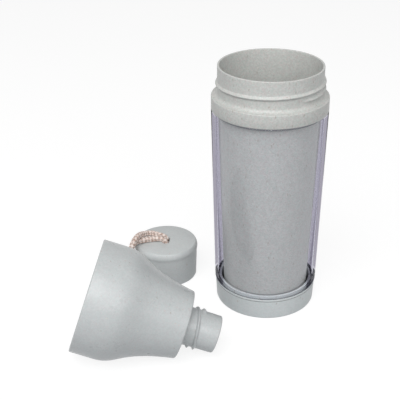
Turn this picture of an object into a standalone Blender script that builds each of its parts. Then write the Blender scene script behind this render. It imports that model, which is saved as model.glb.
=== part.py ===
"""Double wall bottle, taken apart: body, shoulder with spout, and cap with its cord loop.

Metres, +Z up. The origin is the middle of the body's underside, on the surface it stands on.
The shoulder lies on its side in front of the cap, and the cap stands on its open end.
"""
import math

import bmesh
import bpy
import numpy as np

# Collection names
OBJECT_NAME = "double_wall_bottle"
CUTTER_COLLECTION_NAME = "cutters"

# Gaps between pieces that touch, and the overrun of a cutter past what it cuts
SEAT_GAP = 0.0003
CUT_OVERRUN = 0.0020

# Numbers of flat facets round a turned shape and along a quarter-circle edge
WIDE_SIDES = 48
NARROW_SIDES = 36
EDGE_STEPS = 3
FILLET_STEPS = 4
MERGE_DISTANCE = 0.00001

# Liner: the inner cup with its open neck and its collar
RIM_HEIGHT = 0.1657
NECK_RADIUS = 0.03315
NECK_WALL = 0.0013
LIP_ROUNDING = 0.0004
NECK_THREAD_DEPTH = 0.0011
COLLAR_RADIUS = 0.0370
COLLAR_TOP_HEIGHT = 0.1464
COLLAR_DEPTH = 0.0088
COLLAR_TOP_ROUNDING = 0.0009
NECK_FILLET = 0.0026
SPIGOT_DEPTH = 0.0020
COLLAR_GROOVE_INSET = 0.0004
COLLAR_SEAL_WIDTH = 0.0010
LINER_WALL = 0.0013
LINER_TOP_RADIUS = 0.0325
LINER_FOOT_RADIUS = 0.0281
LINER_FOOT_HEIGHT = 0.0080
LINER_FOOT_ROUNDING = 0.0050

# Outer shell: the clear tapered tube between the collar and the base cap
SHELL_TOP_WALL = 0.0021
SHELL_FOOT_RADIUS = 0.0344
SHELL_FOOT_WALL = 0.0022
SHELL_EDGE_BEVEL = 0.0003
TONGUE_INNER_RADIUS = 0.0316
TONGUE_WALL = 0.0012
TONGUE_DEPTH = 0.0035
TONGUE_STEP_HEIGHT = 0.0009

# Base cap: the shallow cup that closes the shell, and the seal ring in its groove
BASE_HEIGHT = 0.0151
BASE_TOP_RADIUS = 0.0340
BASE_FOOT_RADIUS = 0.0332
BASE_TOP_ROUNDING = 0.0005
BASE_FOOT_ROUNDING = 0.0010
BASE_FLOOR = 0.0020
BASE_WALL = 0.0018
BASE_CORNER = 0.0012
BASE_RING_WALL = 0.0015
BASE_RING_FOOT_HEIGHT = 0.0090
BASE_RING_RISE = 0.0011
BASE_RELIEF_DEPTH = 0.0005
BASE_PAD_RADIUS = 0.0140
BASE_FOOT_RING_WIDTH = 0.0035
SEAL_THICKNESS = 0.0012

# Shoulder: the waisted cover with the pouring spout, measured up from its open mouth
MOUTH_RADIUS = 0.0358
SKIRT_HEIGHT = 0.0156
SHOULDER_HEIGHT = 0.0633
SHOULDER_END_RADIUS = 0.02155
SKIRT_HANDLE = 0.0150
WAIST_HANDLE = 0.0350
WAIST_HANDLE_RISE = 0.0053
SHOULDER_WALL = 0.0016
SHOULDER_TOP_WALL = 0.0018
MOUTH_ROUNDING = 0.0010
END_ROUNDING = 0.0008
THREAD_CLEARANCE = 0.00025
GASKET_SEAT_DEPTH = 0.0190
GASKET_SEAT_WIDTH = 0.0030
WAIST_STEPS = 10
SPOUT_HEIGHT = 0.0214
SPOUT_ROOT_RADIUS = 0.01205
SPOUT_LIP_RADIUS = 0.0118
SPOUT_BORE_RADIUS = 0.0104
SPOUT_TIP_ROUNDING = 0.0009
SPOUT_ROOT_FILLET = 0.0005
SPOUT_THREAD_DEPTH = 0.0013
SPOUT_THREAD_HEIGHT = 0.0110

# Shoulder gasket: the flat ring that the neck's rim presses on
GASKET_THICKNESS = 0.0014
GASKET_WIDTH = 0.0026

# Where the shoulder lies: the middle of its mouth, and the slope of its axis down to the spout
SHOULDER_MOUTH_X = -0.1107
SHOULDER_MOUTH_Y = -0.0706
SHOULDER_MOUTH_Z = 0.0406
SHOULDER_SLOPE_DEGREES = 18.76

# Cap: the outer shell, the threaded insert, its seal and the knot, measured up from its mouth
CAP_X = -0.0709
CAP_Y = 0.0235
CAP_HEIGHT = 0.0261
CAP_TOP_RADIUS = 0.0225
CAP_FOOT_RADIUS = 0.0214
CAP_TOP_ROUNDING = 0.0017
CAP_FOOT_ROUNDING = 0.0007
CAP_TOP_WALL = 0.0011
CAP_SIDE_WALL = 0.0014
CAP_INNER_ROUNDING = 0.0006
CORD_SLOT_WIDTH = 0.0047
CORD_SLOT_LENGTH = 0.0090
CORD_SLOT_ROUNDING = 0.0008
INSERT_SKIRT_WALL = 0.0014
INSERT_PLATE = 0.0026
INSERT_ROUNDING = 0.0006
INSERT_FLANGE_THICKNESS = 0.0014
INSERT_FLANGE_HEIGHT = 0.0008
WELL_RADIUS = 0.0065
WELL_WALL = 0.0010
WELL_FLOOR_HEIGHT = 0.0135
WELL_ROUNDING = 0.0006
CAP_SEAL_THICKNESS = 0.0009
CAP_SEAL_CLEARANCE = 0.0005
KNOT_RADIUS = 0.0058
KNOT_HEIGHT = 0.0082
KNOT_TOP_RADIUS = 0.0048
KNOT_STEPS = 8

# Cord loop: one length of braided cord, out of the cap's slot and back into it
CORD_DIAMETER = 0.0039
STRAND_SPREAD = 0.0042
CORD_POINTS_PER_SPAN = 2
CORD_BEVEL_RESOLUTION = 2

# The cord's route from the cap's axis and up from the floor, chosen along the way it lies:
# out of the slot, over the cap's edge, down to the floor, round its far end and back up
CORD_ROUTE = (
    (-0.0002, 0.0021, 0.0262),
    (-0.0010, 0.0021, 0.0274),
    (-0.0023, 0.0020, 0.0282),
    (-0.0043, 0.0021, 0.0288),
    (-0.0072, 0.0028, 0.0293),
    (-0.0104, 0.0032, 0.0297),
    (-0.0135, 0.0022, 0.0301),
    (-0.0160, -0.0004, 0.0310),
    (-0.0178, -0.0040, 0.0323),
    (-0.0192, -0.0084, 0.0332),
    (-0.0207, -0.0124, 0.0324),
    (-0.0221, -0.0154, 0.0300),
    (-0.0233, -0.0174, 0.0260),
    (-0.0242, -0.0184, 0.0188),
    (-0.0254, -0.0190, 0.0110),
    (-0.0274, -0.0196, 0.0065),
    (-0.0305, -0.0203, 0.0034),
    (-0.0341, -0.0204, 0.0022),
    (-0.0377, -0.0193, 0.0021),
    (-0.0405, -0.0168, 0.0021),
    (-0.0417, -0.0132, 0.0021),
    (-0.0412, -0.0094, 0.0021),
    (-0.0390, -0.0063, 0.0021),
    (-0.0356, -0.0048, 0.0023),
    (-0.0318, -0.0051, 0.0036),
    (-0.0286, -0.0064, 0.0066),
    (-0.0265, -0.0078, 0.0110),
    (-0.0249, -0.0087, 0.0186),
    (-0.0237, -0.0086, 0.0242),
    (-0.0220, -0.0079, 0.0274),
    (-0.0188, -0.0066, 0.0286),
    (-0.0152, -0.0048, 0.0285),
    (-0.0116, -0.0031, 0.0284),
    (-0.0080, -0.0023, 0.0284),
    (-0.0046, -0.0021, 0.0286),
    (-0.0023, -0.0021, 0.0282),
    (-0.0010, -0.0021, 0.0274),
    (-0.0002, -0.0021, 0.0262),
)

# Colours, with roughness
PALE_FIBRE = (0.50, 0.51, 0.49, 1.0)
COOL_FIBRE = (0.52, 0.55, 0.55, 1.0)
CLEAR_TINT = (0.62, 0.60, 0.68, 0.35)
SEAL_WHITE = (0.72, 0.72, 0.70, 1.0)
CORD_BEIGE = (0.62, 0.52, 0.45, 1.0)


def clear_scene():
    """Remove every object that the scene starts with."""
    for item in list(bpy.data.objects):
        bpy.data.objects.remove(item, do_unlink=True)


def new_collection(name):
    """A collection of this name, linked to the scene."""
    collection = bpy.data.collections.new(name)
    bpy.context.scene.collection.children.link(collection)
    return collection


def plastic(name, colour, roughness):
    """A Principled material of one colour; the colour's alpha makes it see-through."""
    material = bpy.data.materials.new(name)
    material.use_nodes = True
    shader = material.node_tree.nodes["Principled BSDF"]
    shader.inputs["Base Color"].default_value = colour
    shader.inputs["Roughness"].default_value = roughness
    shader.inputs["Metallic"].default_value = 0.0
    shader.inputs["Alpha"].default_value = colour[3]
    material.diffuse_color = colour
    return material


def arc(centre_radius, centre_height, size, start_degrees, end_degrees, steps):
    """Points of an arc in the profile plane, angles counted from +X towards +Z."""
    points = []
    for step in range(steps + 1):
        angle = math.radians(start_degrees + (end_degrees - start_degrees) * step / steps)
        points.append((centre_radius + size * math.cos(angle), centre_height + size * math.sin(angle)))
    return points


def bezier(first, first_handle, last_handle, last, steps):
    """Points of a cubic curve between two profile points."""
    points = []
    for step in range(steps + 1):
        t = step / steps
        u = 1 - t
        weights = (u ** 3, 3 * u * u * t, 3 * u * t * t, t ** 3)
        corners = (first, first_handle, last_handle, last)
        points.append(tuple(sum(w * c[i] for w, c in zip(weights, corners)) for i in range(2)))
    return points


def turned(name, profile, closed, sides, material, collection):
    """A turned solid: the profile, which runs down its outer side, swept round Z by Screw."""
    mesh = bpy.data.meshes.new(name)
    builder = bmesh.new()
    corners = [builder.verts.new((radius, 0, height)) for radius, height in profile]
    for here, after in zip(corners, corners[1:]):
        builder.edges.new((here, after))
    if closed:
        builder.edges.new((corners[-1], corners[0]))
    builder.to_mesh(mesh)
    builder.free()
    piece = bpy.data.objects.new(name, mesh)
    collection.objects.link(piece)
    screw = piece.modifiers.new("turn", "SCREW")
    screw.axis = "Z"
    screw.angle = math.tau
    screw.steps = sides
    screw.render_steps = sides
    screw.use_merge_vertices = True
    screw.merge_threshold = MERGE_DISTANCE
    screw.use_smooth_shade = True
    mesh.materials.append(material)
    return piece


def ring_profile(inner, outer, bottom, top):
    """The closed profile of a flat ring."""
    return [(outer, top), (outer, bottom), (inner, bottom), (inner, top)]


def collar_groove():
    """The groove under the collar for its seal: inner and outer radius, and height of its top."""
    outer = COLLAR_RADIUS - COLLAR_GROOVE_INSET
    inner = outer - COLLAR_SEAL_WIDTH - 2 * SEAT_GAP
    top = COLLAR_TOP_HEIGHT - COLLAR_DEPTH + SEAL_THICKNESS
    return inner, outer, top


def make_liner(collection):
    """The inner cup: a thin tapered wall, an open neck, and the collar that the shell hangs from."""
    collar_bottom = COLLAR_TOP_HEIGHT - COLLAR_DEPTH
    spigot_bottom = collar_bottom - SPIGOT_DEPTH
    spigot_radius = COLLAR_RADIUS - SHELL_TOP_WALL - SEAT_GAP
    neck_inner = NECK_RADIUS - NECK_WALL
    inner_top = LINER_TOP_RADIUS - LINER_WALL
    inner_foot = LINER_FOOT_RADIUS - LINER_WALL
    inner_floor = LINER_FOOT_HEIGHT + LINER_WALL
    inner_rounding = LINER_FOOT_ROUNDING - LINER_WALL
    inside = [(0, inner_floor)]
    inside += arc(inner_foot - inner_rounding, inner_floor + inner_rounding, inner_rounding,
                  -90, 0, FILLET_STEPS)
    inside += [(inner_top, collar_bottom), (neck_inner, COLLAR_TOP_HEIGHT)]
    lip = arc(neck_inner + LIP_ROUNDING, RIM_HEIGHT - LIP_ROUNDING, LIP_ROUNDING, 180, 90, 2)
    lip += arc(NECK_RADIUS - LIP_ROUNDING, RIM_HEIGHT - LIP_ROUNDING, LIP_ROUNDING, 90, 0, 2)
    collar = arc(NECK_RADIUS + NECK_FILLET, COLLAR_TOP_HEIGHT + NECK_FILLET, NECK_FILLET,
                 180, 270, FILLET_STEPS)
    collar += arc(COLLAR_RADIUS - COLLAR_TOP_ROUNDING, COLLAR_TOP_HEIGHT - COLLAR_TOP_ROUNDING,
                  COLLAR_TOP_ROUNDING, 90, 0, EDGE_STEPS)
    groove_inner, groove_outer, groove_top = collar_groove()
    collar += [
        (COLLAR_RADIUS, collar_bottom),
        (groove_outer, collar_bottom),
        (groove_outer, groove_top),
        (groove_inner, groove_top),
        (groove_inner, collar_bottom),
        (spigot_radius, collar_bottom),
        (spigot_radius, spigot_bottom),
        (LINER_TOP_RADIUS, spigot_bottom),
    ]
    foot = arc(LINER_FOOT_RADIUS - LINER_FOOT_ROUNDING, LINER_FOOT_HEIGHT + LINER_FOOT_ROUNDING,
               LINER_FOOT_ROUNDING, 0, -90, FILLET_STEPS)
    profile = inside + lip + collar + foot + [(0, LINER_FOOT_HEIGHT)]
    material = plastic("liner_fibre", PALE_FIBRE, 0.45)
    return turned("liner", profile, False, WIDE_SIDES, material, collection)


def make_collar_seal(collection):
    """The soft ring in the collar's groove, on top of the shell's rim."""
    inner, outer, top = collar_groove()
    seal_top = top - SEAT_GAP
    seal_bottom = top - SEAL_THICKNESS
    profile = ring_profile(inner + SEAT_GAP, outer - SEAT_GAP, seal_bottom, seal_top)
    material = plastic("seal_soft_collar", SEAL_WHITE, 0.6)
    return turned("collar_seal", profile, True, WIDE_SIDES, material, collection)


def make_outer_shell(collection):
    """The clear tube: flush under the collar, tapered, with a tongue that enters the base's groove."""
    top = COLLAR_TOP_HEIGHT - COLLAR_DEPTH - SEAT_GAP
    foot = BASE_HEIGHT + SEAT_GAP
    tongue_outer = TONGUE_INNER_RADIUS + TONGUE_WALL
    tongue_bottom = foot - TONGUE_DEPTH
    step = foot + TONGUE_STEP_HEIGHT
    profile = [
        (COLLAR_RADIUS - SHELL_EDGE_BEVEL, top),
        (COLLAR_RADIUS, top - SHELL_EDGE_BEVEL),
        (SHELL_FOOT_RADIUS, foot + SHELL_EDGE_BEVEL),
        (SHELL_FOOT_RADIUS - SHELL_EDGE_BEVEL, foot),
        (tongue_outer, foot),
        (tongue_outer, tongue_bottom),
        (TONGUE_INNER_RADIUS, tongue_bottom),
        (TONGUE_INNER_RADIUS, step),
        (SHELL_FOOT_RADIUS - SHELL_FOOT_WALL, step + SHELL_EDGE_BEVEL),
        (COLLAR_RADIUS - SHELL_TOP_WALL, top),
    ]
    material = plastic("clear_wall", CLEAR_TINT, 0.08)
    return turned("outer_shell", profile, True, WIDE_SIDES, material, collection)


def make_base_cap(collection):
    """The shallow cup under the shell, with a groove round its top and a foot ring under it."""
    ring_inner = TONGUE_INNER_RADIUS - SEAT_GAP - BASE_RING_WALL
    groove_inner = TONGUE_INNER_RADIUS - SEAT_GAP
    groove_outer = TONGUE_INNER_RADIUS + TONGUE_WALL + SEAT_GAP
    groove_bottom = BASE_HEIGHT + SEAT_GAP - TONGUE_DEPTH - SEAL_THICKNESS - 2 * SEAT_GAP
    wall_inner = BASE_FOOT_RADIUS - BASE_WALL
    profile = [(0, BASE_FLOOR)]
    profile += arc(wall_inner - BASE_CORNER, BASE_FLOOR + BASE_CORNER, BASE_CORNER, -90, 0, EDGE_STEPS)
    profile += [
        (wall_inner, BASE_RING_FOOT_HEIGHT - (wall_inner - ring_inner)),
        (ring_inner, BASE_RING_FOOT_HEIGHT),
        (ring_inner, BASE_HEIGHT + BASE_RING_RISE),
        (groove_inner, BASE_HEIGHT + BASE_RING_RISE),
        (groove_inner, groove_bottom),
        (groove_outer, groove_bottom),
        (groove_outer, BASE_HEIGHT),
    ]
    profile += arc(BASE_TOP_RADIUS - BASE_TOP_ROUNDING, BASE_HEIGHT - BASE_TOP_ROUNDING,
                   BASE_TOP_ROUNDING, 90, 0, 2)
    profile += arc(BASE_FOOT_RADIUS - BASE_FOOT_ROUNDING, BASE_FOOT_ROUNDING, BASE_FOOT_ROUNDING,
                   0, -90, EDGE_STEPS)
    foot_ring_inner = BASE_FOOT_RADIUS - BASE_FOOT_RING_WIDTH
    profile += [
        (foot_ring_inner, 0),
        (foot_ring_inner - BASE_RELIEF_DEPTH, BASE_RELIEF_DEPTH),
        (BASE_PAD_RADIUS + BASE_RELIEF_DEPTH, BASE_RELIEF_DEPTH),
        (BASE_PAD_RADIUS, 0),
        (0, 0),
    ]
    material = plastic("base_fibre", COOL_FIBRE, 0.45)
    return turned("base_cap", profile, False, WIDE_SIDES, material, collection)


def make_base_seal(collection):
    """The soft ring at the bottom of the base's groove, under the shell's tongue."""
    top = BASE_HEIGHT + SEAT_GAP - TONGUE_DEPTH - SEAT_GAP
    outer = TONGUE_INNER_RADIUS + TONGUE_WALL
    profile = ring_profile(TONGUE_INNER_RADIUS, outer, top - SEAL_THICKNESS, top)
    material = plastic("seal_soft_base", SEAL_WHITE, 0.6)
    return turned("base_seal", profile, True, WIDE_SIDES, material, collection)


def waist_curve(inset, start_height, end_height):
    """The shoulder's curve from the skirt to its end, set in from its outer side by inset."""
    outer = bezier((MOUTH_RADIUS, SKIRT_HEIGHT), (MOUTH_RADIUS, SKIRT_HEIGHT + SKIRT_HANDLE),
                   (SHOULDER_END_RADIUS + WAIST_HANDLE_RISE, SHOULDER_HEIGHT - WAIST_HANDLE),
                   (SHOULDER_END_RADIUS, SHOULDER_HEIGHT), WAIST_STEPS)
    points = []
    for radius, height in outer:
        if start_height <= height <= end_height:
            points.append((radius - inset, height))
    return points


def lay_down(piece):
    """Put an upright shoulder piece where the shoulder lies, its mouth low end up the slope."""
    piece.location = (SHOULDER_MOUTH_X, SHOULDER_MOUTH_Y, SHOULDER_MOUTH_Z)
    piece.rotation_euler = (0, math.radians(90 + SHOULDER_SLOPE_DEGREES), 0)
    return piece


def skirt_bore():
    """The skirt's inner radius, which clears the neck's thread."""
    return NECK_RADIUS + NECK_THREAD_DEPTH + THREAD_CLEARANCE


def make_shoulder(collection):
    """The funnel cover, upright: skirt, waist, flat end and spout, with the gasket's ledge inside."""
    bore = skirt_bore()
    ledge_inner = bore - GASKET_SEAT_WIDTH
    tip = SHOULDER_HEIGHT + SPOUT_HEIGHT
    plate = SHOULDER_HEIGHT - SHOULDER_TOP_WALL
    thread_top = SHOULDER_HEIGHT + SPOUT_THREAD_HEIGHT
    profile = arc(SPOUT_LIP_RADIUS - SPOUT_TIP_ROUNDING, tip - SPOUT_TIP_ROUNDING, SPOUT_TIP_ROUNDING,
                  90, 0, EDGE_STEPS)
    profile += [
        (SPOUT_LIP_RADIUS, thread_top),
        (SPOUT_ROOT_RADIUS, SHOULDER_HEIGHT + SPOUT_ROOT_FILLET),
        (SPOUT_ROOT_RADIUS + SPOUT_ROOT_FILLET, SHOULDER_HEIGHT),
    ]
    profile += arc(SHOULDER_END_RADIUS - END_ROUNDING, SHOULDER_HEIGHT - END_ROUNDING, END_ROUNDING,
                   90, 10, 2)
    outer = waist_curve(0, SKIRT_HEIGHT, SHOULDER_HEIGHT - 2 * END_ROUNDING)
    profile += outer[::-1]
    profile += arc(MOUTH_RADIUS - MOUTH_ROUNDING, MOUTH_ROUNDING, MOUTH_ROUNDING, 0, -90, 2)
    profile += [
        (bore, 0),
        (bore, GASKET_SEAT_DEPTH),
        (ledge_inner, GASKET_SEAT_DEPTH),
    ]
    inner = waist_curve(SHOULDER_WALL, GASKET_SEAT_DEPTH, plate)
    profile += [point for point in inner if point[0] < ledge_inner]
    profile += [(inner[-1][0] - SHOULDER_WALL, plate)]
    profile += [
        (SPOUT_BORE_RADIUS, plate),
        (SPOUT_BORE_RADIUS, tip),
    ]
    material = plastic("shoulder_fibre", COOL_FIBRE, 0.4)
    piece = turned("shoulder", profile, True, WIDE_SIDES, material, collection)
    return lay_down(piece)


def make_shoulder_gasket(collection):
    """The soft flat ring against the ledge in the shoulder, which the neck's rim presses on."""
    outer = skirt_bore() - SEAT_GAP
    top = GASKET_SEAT_DEPTH - SEAT_GAP
    profile = ring_profile(outer - GASKET_WIDTH, outer, top - GASKET_THICKNESS, top)
    material = plastic("seal_soft_shoulder", SEAL_WHITE, 0.6)
    piece = turned("shoulder_gasket", profile, True, WIDE_SIDES, material, collection)
    return lay_down(piece)


def stand_on_floor(piece):
    """Put a piece of the cap where the cap stands."""
    piece.location = (CAP_X, CAP_Y, 0)
    return piece


def cut(piece, cutter):
    """Take the cutter's shape out of the piece."""
    boolean = piece.modifiers.new("cut", "BOOLEAN")
    boolean.operation = "DIFFERENCE"
    boolean.solver = "EXACT"
    boolean.object = cutter


def slot_outline(growth):
    """The cord slot's round-ended outline, grown outwards all round."""
    half_width = CORD_SLOT_WIDTH / 2
    run = CORD_SLOT_LENGTH / 2 - half_width
    back = arc(0, run, half_width + growth, 0, 180, 2 * FILLET_STEPS)
    front = arc(0, -run, half_width + growth, 180, 360, 2 * FILLET_STEPS)
    return back + front


def make_slot_cutter(collection):
    """The cord slot's cutter: a straight throat that flares into the rounded edge at the cap's top."""
    throat_top = CAP_HEIGHT - CORD_SLOT_ROUNDING
    levels = [(0, CAP_HEIGHT - CAP_TOP_WALL - CUT_OVERRUN)]
    for radius, height in arc(CORD_SLOT_ROUNDING, throat_top, CORD_SLOT_ROUNDING, 180, 105, EDGE_STEPS):
        levels.append((radius, height))
    levels.append((CORD_SLOT_ROUNDING + CUT_OVERRUN, CAP_HEIGHT + CUT_OVERRUN))
    builder = bmesh.new()
    rings = []
    for growth, height in levels:
        rings.append([builder.verts.new((x, y, height)) for x, y in slot_outline(growth)])
    for lower, upper in zip(rings, rings[1:]):
        for i in range(len(lower)):
            after = (i + 1) % len(lower)
            builder.faces.new((lower[i], lower[after], upper[after], upper[i]))
    builder.faces.new(rings[0])
    builder.faces.new(rings[-1])
    bmesh.ops.recalc_face_normals(builder, faces=builder.faces)
    mesh = bpy.data.meshes.new("cord_slot_cutter")
    builder.to_mesh(mesh)
    builder.free()
    cutter = bpy.data.objects.new("cord_slot_cutter", mesh)
    collection.objects.link(cutter)
    cutter.hide_render = True
    cutter.display_type = "WIRE"
    return stand_on_floor(cutter)


def make_cap_shell(collection, cutters):
    """The cap's outer cup, mouth down, with a slot for the cord in the middle of its flat top."""
    ceiling = CAP_HEIGHT - CAP_TOP_WALL
    profile = [(0, CAP_HEIGHT)]
    profile += arc(CAP_TOP_RADIUS - CAP_TOP_ROUNDING, CAP_HEIGHT - CAP_TOP_ROUNDING, CAP_TOP_ROUNDING,
                   90, 0, FILLET_STEPS)
    profile += arc(CAP_FOOT_RADIUS - CAP_FOOT_ROUNDING, CAP_FOOT_ROUNDING, CAP_FOOT_ROUNDING, 0, -90, 2)
    profile += [
        (CAP_FOOT_RADIUS - CAP_SIDE_WALL, 0),
        (CAP_TOP_RADIUS - CAP_SIDE_WALL, ceiling - CAP_INNER_ROUNDING),
        (CAP_TOP_RADIUS - CAP_SIDE_WALL - CAP_INNER_ROUNDING, ceiling),
        (0, ceiling),
    ]
    material = plastic("cap_fibre", COOL_FIBRE, 0.4)
    piece = turned("cap_shell", profile, False, NARROW_SIDES, material, collection)
    stand_on_floor(piece)
    cut(piece, make_slot_cutter(cutters))
    return piece


def insert_heights():
    """The heights of the insert's plate: its upper and its lower face."""
    upper = CAP_HEIGHT - CAP_TOP_WALL - SEAT_GAP
    return upper, upper - INSERT_PLATE


def insert_bore():
    """The insert's inner radius, which clears the spout's thread."""
    return SPOUT_ROOT_RADIUS + SPOUT_THREAD_DEPTH + 2 * THREAD_CLEARANCE


def make_cap_insert(collection):
    """The threaded inner cup of the cap, with a foot flange and a well for the cord's knot."""
    upper, lower = insert_heights()
    bore = insert_bore()
    skirt = bore + INSERT_SKIRT_WALL
    flange_bottom = INSERT_FLANGE_HEIGHT
    flange_top = flange_bottom + INSERT_FLANGE_THICKNESS
    flange_radius = CAP_FOOT_RADIUS - CAP_SIDE_WALL - SEAT_GAP
    well_outer = WELL_RADIUS + WELL_WALL
    well_bottom = WELL_FLOOR_HEIGHT - WELL_WALL
    profile = [
        (0, WELL_FLOOR_HEIGHT),
        (WELL_RADIUS - WELL_ROUNDING, WELL_FLOOR_HEIGHT),
        (WELL_RADIUS, WELL_FLOOR_HEIGHT + WELL_ROUNDING),
        (WELL_RADIUS, upper),
        (skirt - INSERT_ROUNDING, upper),
        (skirt, upper - INSERT_ROUNDING),
        (skirt, flange_top),
        (flange_radius, flange_top),
        (flange_radius, flange_bottom),
        (bore + INSERT_ROUNDING, flange_bottom),
        (bore, flange_bottom + INSERT_ROUNDING),
        (bore, lower),
        (well_outer, lower),
        (well_outer, well_bottom + WELL_ROUNDING),
        (well_outer - WELL_ROUNDING, well_bottom),
        (0, well_bottom),
    ]
    material = plastic("insert_fibre", PALE_FIBRE, 0.45)
    piece = turned("cap_insert", profile, False, NARROW_SIDES, material, collection)
    return stand_on_floor(piece)


def make_cap_seal(collection):
    """The soft ring under the insert's plate, which the spout's tip presses on."""
    top = insert_heights()[1] - SEAT_GAP
    inner = WELL_RADIUS + WELL_WALL + CAP_SEAL_CLEARANCE
    outer = insert_bore() - CAP_SEAL_CLEARANCE
    profile = ring_profile(inner, outer, top - CAP_SEAL_THICKNESS, top)
    material = plastic("seal_soft_cap", SEAL_WHITE, 0.6)
    piece = turned("cap_seal", profile, True, NARROW_SIDES, material, collection)
    return stand_on_floor(piece)


def knot_top():
    """The height of the knot's top, just under the cap's top wall."""
    return CAP_HEIGHT - CAP_TOP_WALL - SEAT_GAP


def make_loop_knot(collection):
    """The cord's stopper knot in the insert's well, a rounded lump with a flat pulled-up top."""
    middle = knot_top() - KNOT_HEIGHT / 2
    half_height = KNOT_HEIGHT / 2
    profile = [(0, knot_top()), (KNOT_TOP_RADIUS, knot_top())]
    for step in range(2, KNOT_STEPS):
        angle = math.radians(90 - 180 * step / KNOT_STEPS)
        profile.append((KNOT_RADIUS * math.cos(angle), middle + half_height * math.sin(angle)))
    profile.append((0, middle - half_height))
    material = plastic("knot_cord", CORD_BEIGE, 0.9)
    piece = turned("loop_knot", profile, False, 2 * KNOT_STEPS, material, collection)
    return stand_on_floor(piece)


def smooth_route(corners):
    """Points on a smooth curve through the corners, a few to each span, both ends kept."""
    points = []
    padded = [2 * corners[0] - corners[1]] + corners + [2 * corners[-1] - corners[-2]]
    for before, here, after, beyond in zip(padded, padded[1:], padded[2:], padded[3:]):
        for t in np.linspace(0, 1, CORD_POINTS_PER_SPAN, endpoint=False):
            rise = (after - before) * t
            bend = (2 * before - 5 * here + 4 * after - beyond) * t ** 2
            turn = (3 * here - before - 3 * after + beyond) * t ** 3
            points.append(here + 0.5 * (rise + bend + turn))
    points.append(corners[-1])
    return points


def make_carry_loop(collection):
    """The cord: both ends start on the knot, pass the slot side by side and meet in one loop."""
    start_height = knot_top() + SEAT_GAP
    first = (0, STRAND_SPREAD / 2, start_height)
    last = (0, -STRAND_SPREAD / 2, start_height)
    corners = [np.array(point, dtype=float) for point in (first,) + CORD_ROUTE + (last,)]
    points = smooth_route(corners)
    curve = bpy.data.curves.new("carry_loop", "CURVE")
    curve.dimensions = "3D"
    curve.resolution_u = 1
    curve.render_resolution_u = 0
    curve.bevel_depth = CORD_DIAMETER / 2
    curve.bevel_resolution = CORD_BEVEL_RESOLUTION
    curve.use_fill_caps = True
    spline = curve.splines.new("POLY")
    spline.points.add(len(points) - 1)
    for knot, point in zip(spline.points, points):
        knot.co = (*point, 1.0)
    curve.materials.append(plastic("loop_cord", CORD_BEIGE, 0.9))
    piece = bpy.data.objects.new("carry_loop", curve)
    collection.objects.link(piece)
    return stand_on_floor(piece)


def build():
    """Make every piece of the bottle where it stands or lies."""
    clear_scene()
    parts = new_collection(OBJECT_NAME)
    cutters = new_collection(CUTTER_COLLECTION_NAME)
    make_liner(parts)
    make_collar_seal(parts)
    make_outer_shell(parts)
    make_base_cap(parts)
    make_base_seal(parts)
    make_shoulder(parts)
    make_shoulder_gasket(parts)
    make_cap_shell(parts, cutters)
    make_cap_insert(parts)
    make_cap_seal(parts)
    make_loop_knot(parts)
    make_carry_loop(parts)


build()
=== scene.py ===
"""A double wall bottle taken apart: the body, the shoulder with its spout, and the cap with its cord loop.

Metres, +Z up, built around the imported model, which stays where it is.
"""
import math

import bmesh
import bpy
import numpy as np
from mathutils import Matrix, Vector


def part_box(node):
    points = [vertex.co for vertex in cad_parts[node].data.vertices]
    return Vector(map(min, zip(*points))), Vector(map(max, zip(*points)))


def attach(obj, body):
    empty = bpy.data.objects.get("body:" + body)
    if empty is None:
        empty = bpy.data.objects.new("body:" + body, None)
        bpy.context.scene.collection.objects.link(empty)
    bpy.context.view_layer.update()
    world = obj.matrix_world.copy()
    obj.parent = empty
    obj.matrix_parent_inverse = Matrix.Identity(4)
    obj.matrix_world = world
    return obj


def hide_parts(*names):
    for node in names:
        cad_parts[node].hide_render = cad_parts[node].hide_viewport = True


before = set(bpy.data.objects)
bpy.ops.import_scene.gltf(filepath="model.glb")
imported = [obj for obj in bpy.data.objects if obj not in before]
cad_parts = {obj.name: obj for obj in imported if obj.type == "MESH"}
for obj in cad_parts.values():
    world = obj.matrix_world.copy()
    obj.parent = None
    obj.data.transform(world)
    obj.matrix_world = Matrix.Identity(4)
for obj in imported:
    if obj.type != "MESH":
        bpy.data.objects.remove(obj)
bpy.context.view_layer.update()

# The photographer's table: one camera that looks down on the bottle from in front, four soft boxes
# at the front and both sides of it, and white paper under everything.
CAMERA_PLACE = (-0.01198, -0.50126, 0.33046)
CAMERA_TURN_DEGREES = 3.7217
CAMERA_TILT_DEGREES = 62.6871
CAMERA_ROLL_DEGREES = -0.6490
CAMERA_LENS_MM = 76.24
CAMERA_NEAREST = 0.01
PAPER_SIZE = 8.0
PAPER_DROP = 0.00005
PAPER_BOUNCE = (0.36, 0.37, 0.39, 1.0)
PAPER_SEEN = (0.22, 0.22, 0.22, 1.0)
PAPER_GLOW = 0.84
PAPER_DULLNESS = 0.9
PURE_WHITE = (1.0, 1.0, 1.0, 1.0)
LAMP_TARGET = (-0.03, -0.02, 0.07)
LAMP_DISTANCE = 1.3
LAMP_SIZE = 0.9
# each soft box: its degrees to the camera's right, its degrees up, and its watts
LAMPS = {"main lamp": (-20, 55, 9.8), "left lamp": (-60, 25, 2.2), "front lamp": (12, 35, 4.9),
         "right lamp": (45, 25, 2.7)}
ROOM_LIGHT = 0.25


def feed(tree, socket, value):
    """Give a socket a value, or link it to another node's output."""
    if isinstance(value, bpy.types.NodeSocket):
        tree.links.new(value, socket)
    else:
        socket.default_value = value


def fill(tree, node, **values):
    """Feed a node's sockets by their names, with _ for a space."""
    for name, value in values.items():
        feed(tree, node.inputs[name.replace("_", " ")], value)
    return node


def add_node(tree, kind, settings=None, **values):
    """A shader node with its settings made and its sockets fed."""
    made = tree.nodes.new("ShaderNode" + kind)
    for name, value in (settings or {}).items():
        setattr(made, name, value)
    return fill(tree, made, **values)


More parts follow.
